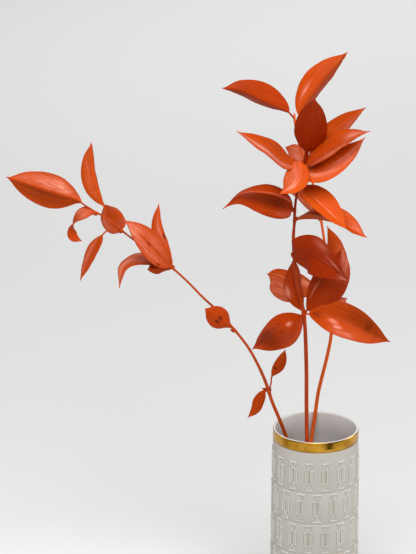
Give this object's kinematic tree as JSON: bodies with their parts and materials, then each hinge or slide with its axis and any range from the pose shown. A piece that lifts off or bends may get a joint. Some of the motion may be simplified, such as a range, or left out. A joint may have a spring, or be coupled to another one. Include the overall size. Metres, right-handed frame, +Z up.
{
  "type": "dried ruscus stems in a vase",
  "caption": "Leafy dried ruscus stems, dyed orange red, standing loosely in a straight unglazed porcelain vase with relief figures and a gilt lip.",
  "frame": {"origin": "centre of the vase's base, on the surface that it stands on", "axes": "+Z up along the vase's axis, +X to the right as the arrangement is shown, +Y to its back; the longest stem with the drooping leaves leans to -X"},
  "size_m": [0.3703, 0.2093, 0.6052],
  "materials": {
    "bisque": "matt unglazed porcelain, glazed inside and over the rim",
    "ruscus": "dyed and waxy, satin with soft streaks",
    "gilding": "polished gold burnished on the porcelain, round the outside of the lip"
  },
  "bodies": {
    "root": {"vase": "bisque", "centre_stem": "ruscus", "back_stem": "ruscus", "side_stem": "ruscus"}
  },
  "joints": []
}
